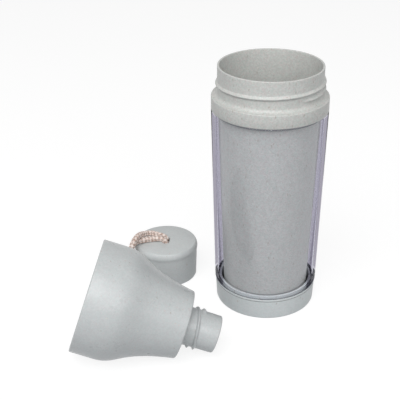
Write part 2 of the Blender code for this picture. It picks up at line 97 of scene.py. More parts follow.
def feed_in_order(tree, node, *values):
    """Feed a node's first sockets in their order, and give its result."""
    for socket, value in zip(node.inputs, values):
        feed(tree, socket, value)
    return node.outputs[0]


def reckon(tree, operation, *numbers):
    """A Math node's result; numbers may be values or links."""
    return feed_in_order(tree, add_node(tree, "Math", {"operation": operation}), *numbers)


def tint(tree, share, first, second, mode="MIX"):
    """A colour between two, by a share that may be a value or a link."""
    made = add_node(tree, "Mix", {"data_type": "RGBA", "blend_type": mode})
    for place, value in ((0, share), (6, first), (7, second)):
        feed(tree, made.inputs[place], value)
    return made.outputs[2]


def new_finish(name):
    """A material with its Principled shader, and its node tree."""
    finish = bpy.data.materials.new(name)
    finish.use_nodes = True
    return finish, finish.node_tree, finish.node_tree.nodes["Principled BSDF"]


def share_seen(tree):
    """1 for what the camera sees, also in gloss and through clear plastic, and 0 for light."""
    rays = add_node(tree, "LightPath").outputs
    seen = reckon(tree, "MAXIMUM", rays["Is Camera Ray"], rays["Is Transmission Ray"])
    return reckon(tree, "MAXIMUM", seen, rays["Is Glossy Ray"])


bpy.ops.object.camera_add(location=CAMERA_PLACE)
camera = bpy.context.object
aim = Matrix.Rotation(math.radians(CAMERA_TURN_DEGREES), 4, "Z")
aim = aim @ Matrix.Rotation(math.radians(CAMERA_TILT_DEGREES), 4, "X")
aim = aim @ Matrix.Rotation(math.radians(CAMERA_ROLL_DEGREES), 4, "Z")
camera.matrix_world = Matrix.Translation(CAMERA_PLACE) @ aim
camera.data.lens = CAMERA_LENS_MM
camera.data.clip_start = CAMERA_NEAREST
bpy.context.scene.camera = camera
bpy.context.scene.view_settings.view_transform = "Standard"

for name, (to_the_right, up, watts) in LAMPS.items():
    turn = math.radians(to_the_right)
    rise = math.radians(up)
    away = Vector((math.sin(turn) * math.cos(rise), -math.cos(turn) * math.cos(rise), math.sin(rise)))
    bpy.ops.object.light_add(type="AREA", location=Vector(LAMP_TARGET) + away * LAMP_DISTANCE)
    lamp = bpy.context.object
    lamp.name = name
    lamp.data.size = LAMP_SIZE
    lamp.data.energy = watts
    lamp.rotation_euler = away.to_track_quat("Z", "Y").to_euler()

room = bpy.data.worlds.new("white room")
bpy.context.scene.world = room
room.use_nodes = True
sky = room.node_tree
sky_level = reckon(sky, "MULTIPLY_ADD", share_seen(sky), 1.0 - ROOM_LIGHT, ROOM_LIGHT)
fill(sky, sky.nodes["Background"], Color=PURE_WHITE, Strength=sky_level)

bpy.ops.mesh.primitive_plane_add(size=PAPER_SIZE, location=(0, 0, -PAPER_DROP))
paper = bpy.context.object
paper.name = "white_paper"
paper_finish, tree, shader = new_finish("white paper")
seen = share_seen(tree)
fill(tree, shader, Base_Color=tint(tree, seen, PAPER_BOUNCE, PAPER_SEEN), Emission_Color=PURE_WHITE,
     Emission_Strength=reckon(tree, "MULTIPLY", seen, PAPER_GLOW), Roughness=PAPER_DULLNESS,
     Specular_IOR_Level=0.0)
paper.data.materials.append(paper_finish)

# The inner cup with its open neck and the collar that everything hangs from: straw fibre in a pale
# warm plastic, moulded in one piece. The single thread on the neck takes the shoulder.
liner_low, liner_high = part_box("liner")
RIM_HEIGHT = liner_high.z
COLLAR_RADIUS = liner_high.x
LINER_FOOT_HEIGHT = liner_low.z
NECK_RADIUS = 0.03315
NECK_WALL = 0.0013
LIP_ROUNDING = 0.0004
COLLAR_TOP_HEIGHT = 0.1464
COLLAR_DEPTH = 0.0088
COLLAR_TOP_ROUNDING = 0.0006
COLLAR_FOOT_ROUNDING = 0.00025
NECK_FILLET = 0.0026
SPIGOT_DEPTH = 0.0020
SEAT_GAP = 0.0003
SEAL_THICKNESS = 0.0012
COLLAR_SEAL_WIDTH = 0.0010
COLLAR_GROOVE_INSET = 0.0004
SHELL_TOP_WALL = 0.0021
LINER_WALL = 0.0013
LINER_TOP_RADIUS = 0.0325
LINER_FOOT_RADIUS = 0.0281
LINER_FOOT_ROUNDING = 0.0050
# a band low on the liner, by the base cap's ring, that is darkened as painted shade in the gap there
GAP_BAND_TOP = 0.0162
GAP_BAND_FOOT = 0.0154
# a thread's first turn, span and run-outs are in degrees, and its lead is its rise in one turn
NECK_THREAD = {"starts": 1, "first_turn": -57, "first_height": 0.1514, "lead": 0.0042, "span": 450,
               "depth": 0.00125, "half_width": 0.0017, "run_out": 16}
THREAD_ROWS = 90
WIDE_SIDES = 192
THREAD_ROOM = 0.0002
# points closer than this are the same
TOUCH = 0.00001
CREASE_DEGREES = 40
PALE_STRAW = (0.512, 0.519, 0.499, 1.0)
# painted shade: the colour for the shade under the collar, in the gap by the base's ring and in the mould
# line
PAINTED_SHADE_COLOUR = (0.32, 0.325, 0.34, 1.0)
HUSK_BROWN = (0.30, 0.25, 0.20, 1.0)
HUSK_ROSY = (0.50, 0.38, 0.35, 1.0)
STRAW_HAIR = (0.66, 0.64, 0.56, 1.0)
# each layer of flecks: cells to the metre, how they are stretched and turned, and how wide they are
BROWN_FLECKS = (560, (1, 1, 0.40), (0.3, 0.2, 0.0), 0.26)
ROSY_FLECKS = (760, (1, 0.45, 1), (0.0, 0.9, 0.5), 0.28)
PALE_HAIRS = (480, (0.35, 1, 1), (0.6, 0.0, 1.0), 0.17)
PALE_HAIR_SHARE = 0.22
FLECK_CORE = 0.55
FLECK_FAINTEST = 0.3
HUSK_STRENGTH = 0.6
ROSY_STRENGTH = 0.75
HAIR_STRENGTH = 0.5
DRIFT_SCALE = 300
DRIFT_LENGTH = 0.0016
CLOUD_SCALE = 90
GRAIN_SCALE = 1150
SKIN_SCALE = 900
# what a warm grain adds to red, green and blue
GRAIN_WARMTH = (0.45, -0.27, -0.135)
DULLER_CLOUDS = 0.22
DULLER_HUSKS = 0.12
RELIEF_SHARES = {"skin": 0.35, "husks": 0.6, "clouds": 0.9}
RELIEF_STRENGTH = 0.22
RELIEF_DEPTH = 0.00006
STRAW_BEND = 1.48


def same(first, last):
    """Whether two places, given by their radius and height, are the same but for rounding."""
    return abs(first[0] - last[0]) < TOUCH and abs(first[1] - last[1]) < TOUCH


def pick_edges(piece, wanted):
    """Pick the edges whose ends, the lower one first, pass a test, in edit mode."""
    bpy.ops.mesh.select_mode(type="EDGE")
    bpy.ops.mesh.select_all(action="DESELECT")
    mesh = bmesh.from_edit_mesh(piece.data)
    for edge in mesh.edges:
        ends = [(math.hypot(vert.co.x, vert.co.y), vert.co.z) for vert in edge.verts]
        if wanted(*sorted(ends, key=lambda end: end[1])):
            edge.select_set(True)
    bmesh.update_edit_mesh(piece.data)


def pick_rings(piece, *rings):
    """Pick the rings of edges that lie at these places of the profile."""
    pick_edges(piece, lambda low, high: any(same(low, ring) and same(high, ring) for ring in rings))


def turn_profile(name, sides, corners, tube=False):
    """Turn a profile round the Z axis into a closed piece, and leave it in edit mode.

    A corner is its radius and height and, where it is rounded or filled, the size and the steps of that.
    Flat middles close the profile's two ends, or a tube joins them.
    """
    radius, height = corners[0][:2]
    bpy.ops.mesh.primitive_circle_add(vertices=sides, radius=radius, location=(0, 0, height))
    piece = bpy.context.object
    piece.name = name
    bpy.ops.object.transform_apply(location=True, rotation=False, scale=False)
    bpy.ops.object.mode_set(mode="EDIT")
    bpy.ops.mesh.select_all(action="SELECT")
    for next_radius, next_height, *_ in corners[1:]:
        rise = (0, 0, next_height - height)
        bpy.ops.mesh.extrude_region_move(TRANSFORM_OT_translate={"value": rise})
        widen = next_radius / radius
        bpy.ops.transform.resize(value=(widen, widen, 1), center_override=(0, 0, next_height))
        radius, height = next_radius, next_height
    if tube:
        pick_rings(piece, corners[0], corners[-1])
        bpy.ops.mesh.bridge_edge_loops()
    else:
        for end in (corners[0], corners[-1]):
            pick_rings(piece, end)
            bpy.ops.mesh.extrude_region_move()
            bpy.ops.mesh.merge(type="CENTER")
    for corner in corners:
        if len(corner) > 2:
            pick_rings(piece, corner)
            bpy.ops.mesh.bevel(offset=corner[2], segments=corner[3], affect="EDGES")
    return piece


def ease(share):
    """A smooth step from 0 to 1."""
    share = min(1.0, max(0.0, share))
    return share * share * (3 - 2 * share)


def raise_thread(piece, radius, low, high, rows, thread):
    """Divide a wall into rows and push them out along a screw line, or in where the depth is negative."""
    foot, top = (radius(low), low), (radius(high), high)
    pick_edges(piece, lambda lower, upper: same(lower, foot) and same(upper, top))
    bpy.ops.mesh.subdivide(number_cuts=rows)
    span = math.radians(thread["span"])
    run_out = math.radians(thread["run_out"])
    mesh = bmesh.from_edit_mesh(piece.data)
    for vert in mesh.verts:
        x, y, z = vert.co
        if not low + TOUCH < z < high - TOUCH or abs(math.hypot(x, y) - radius(z)) > TOUCH:
            continue
        lift = 0.0
        for start in range(thread["starts"]):
            begin = math.radians(thread["first_turn"]) + math.tau * start / thread["starts"]
            turned = (math.atan2(y, x) - begin) % math.tau
            while turned < span:
                middle = thread["first_height"] + thread["lead"] * turned / math.tau
                across = min(1.0, abs(z - middle) / thread["half_width"])
                end = ease(min(turned, span - turned) / run_out)
                lift += thread["depth"] * end * math.cos(across * math.pi / 2) ** 2
                turned += math.tau
        grown = 1 + lift / math.hypot(x, y)
        vert.co = (x * grown, y * grown, z)
    bmesh.update_edit_mesh(piece.data)


def finish_piece(piece, *finishes):
    """Merge and close the mesh, turn its faces outwards, apply its place, shade it and give it finishes."""
    bpy.ops.mesh.select_mode(type="VERT")
    bpy.ops.mesh.select_all(action="SELECT")
    bpy.ops.mesh.remove_doubles(threshold=TOUCH / 10)
    bpy.ops.mesh.normals_make_consistent(inside=False)
    bpy.ops.object.mode_set(mode="OBJECT")
    bpy.ops.object.transform_apply(location=True, rotation=True, scale=True)
    bpy.ops.object.shade_smooth_by_angle(angle=math.radians(CREASE_DEGREES))
    for finish in finishes:
        piece.data.materials.append(finish)


def ramp(tree, value, start, end, first=0.0, last=1.0, kind="SMOOTHSTEP"):
    """A share that goes from first to last as a value goes from start to end."""
    return add_node(tree, "MapRange", {"interpolation_type": kind}, Value=value, From_Min=start,
                    From_Max=end, To_Min=first, To_Max=last).outputs[0]


def lay_flecks(group, place, layer, share, faintest):
    """One layer of flecks: a share of its cells hold one, each at its own strength from the faintest up."""
    scale, stretch, turn, width = layer
    laid = add_node(group, "Mapping", Vector=place, Rotation=turn, Scale=stretch)
    cells = add_node(group, "TexVoronoi", Vector=laid.outputs[0], Scale=scale)
    shape = ramp(group, cells.outputs["Distance"], width, width * FLECK_CORE, kind="LINEAR")
    chance = add_node(group, "SeparateColor", Color=cells.outputs["Color"])
    held = reckon(group, "MULTIPLY", shape, reckon(group, "LESS_THAN", chance.outputs[0], share))
    strength = reckon(group, "MULTIPLY_ADD", chance.outputs[1], 1 - faintest, faintest)
    return reckon(group, "MULTIPLY", held, strength)


def make_fleck_group():
    """Straw fibre in plastic: dark and rosy flecks, pale hairs, fine speckle and a slow cloudiness."""
    group = bpy.data.node_groups.new("straw fibre", "ShaderNodeTree")
    sockets = group.interface
    for name in ("Plastic", "Husk", "Rosy Husk", "Pale Straw"):
        sockets.new_socket(name, in_out="INPUT", socket_type="NodeSocketColor")
    for name in ("Husk Share", "Rosy Share", "Speckle", "Cloudiness", "Dullness"):
        sockets.new_socket(name, in_out="INPUT", socket_type="NodeSocketFloat")
    sockets.new_socket("Color", in_out="OUTPUT", socket_type="NodeSocketColor")
    sockets.new_socket("Roughness", in_out="OUTPUT", socket_type="NodeSocketFloat")
    sockets.new_socket("Height", in_out="OUTPUT", socket_type="NodeSocketFloat")
    given = group.nodes.new("NodeGroupInput").outputs
    place = add_node(group, "TexCoord").outputs["Object"]
    drift = add_node(group, "TexNoise", Vector=place, Scale=DRIFT_SCALE, Detail=1).outputs["Color"]
    drift = add_node(group, "VectorMath", {"operation": "SCALE"}, Vector=drift, Scale=DRIFT_LENGTH)
    added = add_node(group, "VectorMath", {"operation": "ADD"})
    bent = feed_in_order(group, added, place, drift.outputs[0])
    husk = lay_flecks(group, bent, BROWN_FLECKS, given["Husk Share"], FLECK_FAINTEST)
    rosy = lay_flecks(group, bent, ROSY_FLECKS, given["Rosy Share"], FLECK_FAINTEST)
    pale = lay_flecks(group, bent, PALE_HAIRS, PALE_HAIR_SHARE, 1.0)
    cloud = add_node(group, "TexNoise", Vector=place, Scale=CLOUD_SCALE, Detail=4, Roughness=0.6)
    cloud = reckon(group, "SUBTRACT", cloud.outputs["Fac"], 0.5)
    grain = add_node(group, "TexVoronoi", Vector=bent, Scale=GRAIN_SCALE).outputs["Color"]
    grain = add_node(group, "SeparateColor", Color=grain).outputs
    level = reckon(group, "MULTIPLY_ADD", cloud, given["Cloudiness"], 1.0)
    speck = reckon(group, "SUBTRACT", grain[0], 0.5)
    level = reckon(group, "MULTIPLY_ADD", speck, given["Speckle"], level)
    warmth = reckon(group, "MULTIPLY", reckon(group, "SUBTRACT", grain[1], 0.5), given["Speckle"])
    red, green, blue = [reckon(group, "MULTIPLY_ADD", warmth, part, level) for part in GRAIN_WARMTH]
    level = add_node(group, "CombineColor", Red=red, Green=green, Blue=blue).outputs[0]
    colour = tint(group, 1.0, given["Plastic"], level, "MULTIPLY")
    colour = tint(group, reckon(group, "MULTIPLY", pale, HAIR_STRENGTH), colour, given["Pale Straw"])
    colour = tint(group, reckon(group, "MULTIPLY", rosy, ROSY_STRENGTH), colour, given["Rosy Husk"])
    colour = tint(group, reckon(group, "MULTIPLY", husk, HUSK_STRENGTH), colour, given["Husk"])
    dull = reckon(group, "MULTIPLY_ADD", cloud, DULLER_CLOUDS, given["Dullness"])
    skin = add_node(group, "TexNoise", Vector=place, Scale=SKIN_SCALE, Detail=3).outputs["Fac"]
    raised = reckon(group, "MULTIPLY", husk, RELIEF_SHARES["husks"])
    raised = reckon(group, "MULTIPLY_ADD", skin, RELIEF_SHARES["skin"], raised)
    fill(group, group.nodes.new("NodeGroupOutput"), Color=colour,
         Roughness=reckon(group, "MULTIPLY_ADD", husk, DULLER_HUSKS, dull),
         Height=reckon(group, "MULTIPLY_ADD", cloud, RELIEF_SHARES["clouds"], raised))
    return group


straw_fibre = make_fleck_group()


def straw_plastic(name, polish, **fibre_values):
    """Straw-filled plastic in one colour, with its flecks, sheen and faint relief."""
    finish, tree, shader = new_finish(name)
    fibre = add_node(tree, "Group", {"node_tree": straw_fibre}, Husk=HUSK_BROWN, Rosy_Husk=HUSK_ROSY,
                     Pale_Straw=STRAW_HAIR, **fibre_values).outputs
    relief = add_node(tree, "Bump", Height=fibre["Height"], Strength=RELIEF_STRENGTH, Distance=RELIEF_DEPTH)
    fill(tree, shader, Base_Color=fibre["Color"], Roughness=fibre["Roughness"], Normal=relief.outputs[0],
         IOR=STRAW_BEND, Specular_IOR_Level=polish)
    return finish


def give_finish(piece, number, inner, outer, low, high):
    """Give one of a turned piece's finishes to the faces that lie wholly inside a ring-shaped space."""
    places = [(math.hypot(vert.co.x, vert.co.y), vert.co.z) for vert in piece.data.vertices]
    for face in piece.data.polygons:
        radii = [places[corner][0] for corner in face.vertices]
        heights = [places[corner][1] for corner in face.vertices]
        within = inner < min(radii) and max(radii) < outer
        if within and low - TOUCH < min(heights) and max(heights) < high + TOUCH:
            face.material_index = number


def straight(radius):
    """The radius of a straight wall or bore, for every height."""
    return lambda height: radius


def liner_radius(height):
    """The outer radius of the inner cup's tapered wall."""
    share = (height - LINER_FOOT_HEIGHT) / (spigot_foot - LINER_FOOT_HEIGHT)
    return LINER_FOOT_RADIUS + (LINER_TOP_RADIUS - LINER_FOOT_RADIUS) * share


collar_foot = COLLAR_TOP_HEIGHT - COLLAR_DEPTH
spigot_foot = collar_foot - SPIGOT_DEPTH
spigot_radius = COLLAR_RADIUS - SHELL_TOP_WALL - SEAT_GAP
neck_inner = NECK_RADIUS - NECK_WALL
groove_outer = COLLAR_RADIUS - COLLAR_GROOVE_INSET
groove_inner = groove_outer - COLLAR_SEAL_WIDTH - 2 * SEAT_GAP
groove_top = collar_foot + SEAL_THICKNESS
liner_inner_foot = LINER_FOOT_RADIUS - LINER_WALL
liner_floor = LINER_FOOT_HEIGHT + LINER_WALL
thread_low = COLLAR_TOP_HEIGHT + NECK_FILLET + THREAD_ROOM
thread_high = RIM_HEIGHT - LIP_ROUNDING - 2 * THREAD_ROOM

liner = turn_profile("inner_cup_with_neck", WIDE_SIDES, [
    (liner_inner_foot, liner_floor, LINER_FOOT_ROUNDING - LINER_WALL, 8),
    (LINER_TOP_RADIUS - LINER_WALL, collar_foot),
    (neck_inner, COLLAR_TOP_HEIGHT),
    (neck_inner, RIM_HEIGHT, LIP_ROUNDING, 3),
    (NECK_RADIUS, RIM_HEIGHT, LIP_ROUNDING, 3),
    (NECK_RADIUS, thread_high),
    (NECK_RADIUS, thread_low),
    (NECK_RADIUS, COLLAR_TOP_HEIGHT, NECK_FILLET, 8),
    (COLLAR_RADIUS, COLLAR_TOP_HEIGHT, COLLAR_TOP_ROUNDING, 5),
    (COLLAR_RADIUS, collar_foot, COLLAR_FOOT_ROUNDING, 2),
    (groove_outer, collar_foot),
    (groove_outer, groove_top),
    (groove_inner, groove_top),
    (groove_inner, collar_foot),
    (spigot_radius, collar_foot),
    (spigot_radius, spigot_foot),
    (LINER_TOP_RADIUS, spigot_foot),
    (liner_radius(GAP_BAND_TOP), GAP_BAND_TOP),
    (liner_radius(GAP_BAND_FOOT), GAP_BAND_FOOT),
    (LINER_FOOT_RADIUS, LINER_FOOT_HEIGHT, LINER_FOOT_ROUNDING, 8),
])
raise_thread(liner, straight(NECK_RADIUS), thread_low, thread_high, THREAD_ROWS, NECK_THREAD)
warm_straw = straw_plastic("warm straw plastic", polish=0.5, Plastic=PALE_STRAW, Husk_Share=0.34,
                           Rosy_Share=0.46, Speckle=0.17, Cloudiness=0.10, Dullness=0.40)
# Painted shade: a darker copy of the straw plastic for faces in tight joints and grooves, where shade falls.
painted_shade_straw = straw_plastic("straw plastic darkened as painted shade", polish=0.3, Plastic=PAINTED_SHADE_COLOUR, Husk_Share=0.10,
                           Rosy_Share=0.10, Speckle=0.10, Cloudiness=0.10, Dullness=0.60)
finish_piece(liner, warm_straw, painted_shade_straw)
# Painted shade: the spigot's face under the collar and a narrow band low on the liner get the darkened
# finish.
give_finish(liner, 1, spigot_radius - TOUCH, spigot_radius + TOUCH, spigot_foot, collar_foot)
give_finish(liner, 1, LINER_FOOT_RADIUS, LINER_TOP_RADIUS, GAP_BAND_FOOT, GAP_BAND_TOP)
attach(liner, "bottle")
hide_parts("liner")

# The soft ring in the collar's groove: milky silicone, pressed into the groove, with the shell's
# rim against its underside.
SEAL_ROUNDING = 0.0002
SEAL_MILK = (0.74, 0.74, 0.71, 1.0)
SEAL_DUST = (0.68, 0.68, 0.65, 1.0)
SEAL_DUST_SCALE = 420
SEAL_DULLNESS = 0.45
SEAL_DUST_DULLNESS = 0.2
SEAL_RELIEF_STRENGTH = 0.15
SEAL_RELIEF_DEPTH = 0.00005
SEAL_BEND = 1.41


def flat_ring(name, inner, outer, bottom, top):
    """A flat ring with its four edges rounded."""
    corners = ((inner, top), (outer, top), (outer, bottom), (inner, bottom))
    return turn_profile(name, WIDE_SIDES, [(*corner, SEAL_ROUNDING, 2) for corner in corners], tube=True)


def silicone(name):
    """Milky silicone rubber with a fine dusty skin."""
    finish, tree, shader = new_finish(name)
    place = add_node(tree, "TexCoord").outputs["Object"]
    dust = add_node(tree, "TexNoise", Vector=place, Scale=SEAL_DUST_SCALE, Detail=3).outputs["Fac"]
    relief = add_node(tree, "Bump", Height=dust, Strength=SEAL_RELIEF_STRENGTH, Distance=SEAL_RELIEF_DEPTH)
    fill(tree, shader, Base_Color=tint(tree, dust, SEAL_MILK, SEAL_DUST), Normal=relief.outputs[0],
         Roughness=reckon(tree, "MULTIPLY_ADD", dust, SEAL_DUST_DULLNESS, SEAL_DULLNESS), IOR=SEAL_BEND)
    return finish


milky_silicone = silicone("milky silicone")
collar_seal = flat_ring("collar_seal_ring", groove_inner + SEAT_GAP, groove_outer - SEAT_GAP,
                        collar_foot, groove_top - SEAT_GAP)
finish_piece(collar_seal, milky_silicone)
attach(collar_seal, "bottle")
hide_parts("collar_seal")

# The outer wall: a clear, slightly lilac moulded tube, flush under the collar. Its tongue goes down
# into the base cap's groove.
shell_low, shell_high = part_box("outer_shell")
SHELL_FOOT_RADIUS = 0.0344
SHELL_FOOT_WALL = 0.0022
SHELL_EDGE_BEVEL = 0.0003
TONGUE_INNER_RADIUS = 0.0316
TONGUE_WALL = 0.0012
TONGUE_DEPTH = 0.0035
TONGUE_STEP_HEIGHT = 0.0009
CLEAR_FACING = (0.955, 0.965, 1.0, 1.0)
CLEAR_GRAZING = (0.37, 0.355, 0.42, 1.0)
INSIDE_GRAZING = (0.39, 0.375, 0.44, 1.0)
# painted shade: a dark tint for a ring of the wall's foot face, which also lets little lamp light through
CLEAR_PAINTED_SHADE = (0.12, 0.125, 0.14, 1.0)
CLEAR_SHADE = (0.92, 0.92, 0.93, 1.0)
CLEAR_BEND = 1.01
OUTSIDE_EDGE = (0.61, 0.65)
INSIDE_EDGE = (0.55, 0.62)
INSIDE_EDGE_END = (0.775, 0.85)
# the radii of the ring of the wall's foot face that is darkened as painted shade
JOINT_LINE = (0.0332, 0.0338)
COAT_FADE = (0.45, 0.60)
COAT_DULLNESS = 0.05
SMEAR_SCALE = 70
SMEAR_DULLNESS = 0.05
CLEAR_DULLNESS = 0.015
tongue_outer = TONGUE_INNER_RADIUS + TONGUE_WALL
shell_foot = shell_low.z + TONGUE_DEPTH
shell_step = shell_foot + TONGUE_STEP_HEIGHT
shell_inner_top = COLLAR_RADIUS - SHELL_TOP_WALL
shell_inner_foot = SHELL_FOOT_RADIUS - SHELL_FOOT_WALL


def clear_plastic(name, facing, grazing, edge, gloss, shade, edge_end=None):
    """Clear plastic, lilac where it is looked along, that lets the lamps through."""
    finish, tree, shader = new_finish(name)
    place = add_node(tree, "TexCoord").outputs["Object"]
    smear = add_node(tree, "TexNoise", Vector=place, Scale=SMEAR_SCALE, Detail=3).outputs["Fac"]
    aslant = add_node(tree, "LayerWeight", Blend=0.5).outputs["Facing"]
    lilac = ramp(tree, aslant, *edge)
    if edge_end:
        lilac = reckon(tree, "MULTIPLY", lilac, ramp(tree, aslant, edge_end[1], edge_end[0]))
    fill(tree, shader, Base_Color=tint(tree, lilac, facing, grazing), IOR=CLEAR_BEND,
         Transmission_Weight=1.0,
         Roughness=reckon(tree, "MULTIPLY_ADD", smear, SMEAR_DULLNESS, CLEAR_DULLNESS),
         Coat_Weight=ramp(tree, aslant, *COAT_FADE, gloss, 0.0, kind="LINEAR"),
         Coat_Roughness=COAT_DULLNESS)
    rays = add_node(tree, "LightPath").outputs
    lit = reckon(tree, "MAXIMUM", rays["Is Shadow Ray"], rays["Is Diffuse Ray"])
    through = add_node(tree, "BsdfTransparent", Color=shade).outputs[0]
    both = feed_in_order(tree, add_node(tree, "MixShader"), lit, shader.outputs[0], through)
    fill(tree, tree.nodes["Material Output"], Surface=both)
    return finish


shell = turn_profile("clear_outer_wall", WIDE_SIDES, [
    (shell_inner_top, shell_high.z),
    (COLLAR_RADIUS, shell_high.z, SHELL_EDGE_BEVEL, 3),
    (SHELL_FOOT_RADIUS, shell_foot, SHELL_EDGE_BEVEL, 3),
    (JOINT_LINE[1], shell_foot),
    (JOINT_LINE[0], shell_foot),
    (tongue_outer, shell_foot),
    (tongue_outer, shell_low.z),
    (TONGUE_INNER_RADIUS, shell_low.z),
    (TONGUE_INNER_RADIUS, shell_step),
    (shell_inner_foot, shell_step + SHELL_EDGE_BEVEL),
], tube=True)
finish_piece(
    shell,
    clear_plastic("clear lilac plastic", CLEAR_FACING, CLEAR_GRAZING, OUTSIDE_EDGE, gloss=1.0,
                  shade=CLEAR_SHADE),
    clear_plastic("clear plastic darkened as painted shade at the joint", CLEAR_PAINTED_SHADE, CLEAR_PAINTED_SHADE, OUTSIDE_EDGE, gloss=0.0,
                  shade=CLEAR_PAINTED_SHADE),
    clear_plastic("clear plastic inside", CLEAR_FACING, INSIDE_GRAZING, INSIDE_EDGE, gloss=0.0,
                  shade=CLEAR_SHADE, edge_end=INSIDE_EDGE_END),
)
# Painted shade: the ring of the foot face gets the dark tint.
give_finish(shell, 1, JOINT_LINE[0] - TOUCH, JOINT_LINE[1] + TOUCH, shell_foot, shell_foot)
give_finish(shell, 2, shell_inner_foot - TOUCH, shell_inner_top + TOUCH, shell_step + SHELL_EDGE_BEVEL,
            shell_high.z)
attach(shell, "bottle")
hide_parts("outer_shell")

# The base cap: a shallow cup in a cooler straw plastic, pressed onto the shell's tongue. Its inner
# ring stands up inside the wall, and a fine mould line runs round it under the rim.
base_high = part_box("base_cap")[1]
BASE_HEIGHT = 0.0151
BASE_TOP_RADIUS = 0.0340
BASE_FOOT_RADIUS = 0.0332
BASE_TOP_ROUNDING = 0.0005
BASE_FOOT_ROUNDING = 0.0010
BASE_FLOOR = 0.0020
BASE_WALL = 0.0018
BASE_CORNER = 0.0012
BASE_RING_WALL = 0.0015
BASE_RING_FOOT_HEIGHT = 0.0090
BASE_RING_ROUNDING = 0.0003
BASE_RELIEF_DEPTH = 0.0005
BASE_PAD_RADIUS = 0.0140
BASE_FOOT_RING_WIDTH = 0.0035
MOULD_LINE_HEIGHT = 0.0136
MOULD_LINE_DEPTH = 0.0004
MOULD_LINE_WIDTH = 0.0004
COOL_STRAW = (0.620, 0.655, 0.658, 1.0)
ring_outer = TONGUE_INNER_RADIUS - SEAT_GAP
ring_inner = ring_outer - BASE_RING_WALL
slot_outer = tongue_outer + SEAT_GAP
slot_floor = shell_low.z - SEAL_THICKNESS - 2 * SEAT_GAP
base_wall_inner = BASE_FOOT_RADIUS - BASE_WALL
foot_ring_inner = BASE_FOOT_RADIUS - BASE_FOOT_RING_WIDTH
line_low = MOULD_LINE_HEIGHT - MOULD_LINE_WIDTH / 2
line_high = MOULD_LINE_HEIGHT + MOULD_LINE_WIDTH / 2
line_radius = BASE_FOOT_RADIUS + (BASE_TOP_RADIUS - BASE_FOOT_RADIUS) * MOULD_LINE_HEIGHT / BASE_HEIGHT

base = turn_profile("base_cup", WIDE_SIDES, [
    (base_wall_inner, BASE_FLOOR, BASE_CORNER, 5),
    (base_wall_inner, BASE_RING_FOOT_HEIGHT - (base_wall_inner - ring_inner)),
    (ring_inner, BASE_RING_FOOT_HEIGHT),
    (ring_inner, base_high.z, BASE_RING_ROUNDING, 3),
    (ring_outer, base_high.z, BASE_RING_ROUNDING, 3),
    (ring_outer, slot_floor),
    (slot_outer, slot_floor),
    (slot_outer, BASE_HEIGHT),
    (BASE_TOP_RADIUS, BASE_HEIGHT, BASE_TOP_ROUNDING, 4),
    (line_radius, line_high),
    (line_radius - MOULD_LINE_DEPTH, line_high),
    (line_radius - MOULD_LINE_DEPTH, line_low),
    (line_radius, line_low),
    (BASE_FOOT_RADIUS, 0, BASE_FOOT_ROUNDING, 5),
    (foot_ring_inner, 0),
    (foot_ring_inner - BASE_RELIEF_DEPTH, BASE_RELIEF_DEPTH),
    (BASE_PAD_RADIUS + BASE_RELIEF_DEPTH, BASE_RELIEF_DEPTH),
    (BASE_PAD_RADIUS, 0),
])
cool_straw = straw_plastic("cool straw plastic", polish=0.3, Plastic=COOL_STRAW, Husk_Share=0.10,
                           Rosy_Share=0.08, Speckle=0.08, Cloudiness=0.06, Dullness=0.42)
finish_piece(base, cool_straw, painted_shade_straw)
# Painted shade: the mould line's groove gets the darkened finish.
give_finish(base, 1, line_radius - MOULD_LINE_DEPTH - TOUCH, line_radius + TOUCH, line_low, line_high)
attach(base, "bottle")
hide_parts("base_cap")

# The soft ring at the bottom of the base cap's groove, under the shell's tongue: the same silicone.
base_seal_low, base_seal_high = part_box("base_seal")
base_seal = flat_ring("base_seal_ring", TONGUE_INNER_RADIUS, tongue_outer, base_seal_low.z,
                      base_seal_high.z)
finish_piece(base_seal, milky_silicone)
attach(base_seal, "bottle")
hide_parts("base_seal")

# The shoulder: a waisted cover in pale blue-grey straw plastic, moulded with its pouring spout. It
# screws onto the neck by the thread inside its skirt, and the cap screws onto its spout.
SHOULDER_MOUTH = (-0.1107, -0.0706, 0.0406)
SHOULDER_SLOPE_DEGREES = 18.76
MOUTH_RADIUS = 0.0358
SKIRT_HEIGHT = 0.0156
SHOULDER_HEIGHT = 0.0633
SHOULDER_END_RADIUS = 0.02155
SKIRT_HANDLE = 0.0150
WAIST_HANDLE = 0.0350
WAIST_HANDLE_RISE = 0.0053
SHOULDER_WALL = 0.0016
SHOULDER_TOP_WALL = 0.0018
MOUTH_ROUNDING = 0.0010
END_ROUNDING = 0.0008
SKIRT_BORE = 0.0345
GASKET_SEAT_DEPTH = 0.0190
GASKET_SEAT_WIDTH = 0.0030
WAIST_STEPS = 40
SPOUT_HEIGHT = 0.0214
SPOUT_ROOT_RADIUS = 0.01205
SPOUT_LIP_RADIUS = 0.0118
SPOUT_BORE_RADIUS = 0.0104
SPOUT_TIP_ROUNDING = 0.0009
SPOUT_BORE_ROUNDING = 0.0004
SPOUT_ROOT_FILLET = 0.0005
SPOUT_THREAD_ROWS = 56
SPOUT_THREAD_TOP = 0.0122
SKIRT_THREAD_LOW = 0.0012
SKIRT_THREAD_HIGH = 0.0160
SPOUT_THREAD = {"starts": 2, "first_turn": 110, "first_height": 0.06783, "lead": 0.0082, "span": 255,
                "depth": 0.0013, "half_width": 0.0015, "run_out": 26}
SKIRT_THREAD = {"starts": 1, "first_turn": 20, "first_height": 0.0040, "lead": 0.0042, "span": 450,
                "depth": -0.0009, "half_width": 0.0011, "run_out": 28}
LID_STRAW = (0.488, 0.509, 0.512, 1.0)
spout_tip = SHOULDER_HEIGHT + SPOUT_HEIGHT
shoulder_plate = SHOULDER_HEIGHT - SHOULDER_TOP_WALL
ledge_inner = SKIRT_BORE - GASKET_SEAT_WIDTH
spout_thread_low = SHOULDER_HEIGHT + 2 * SPOUT_ROOT_FILLET
spout_thread_high = SHOULDER_HEIGHT + SPOUT_THREAD_TOP


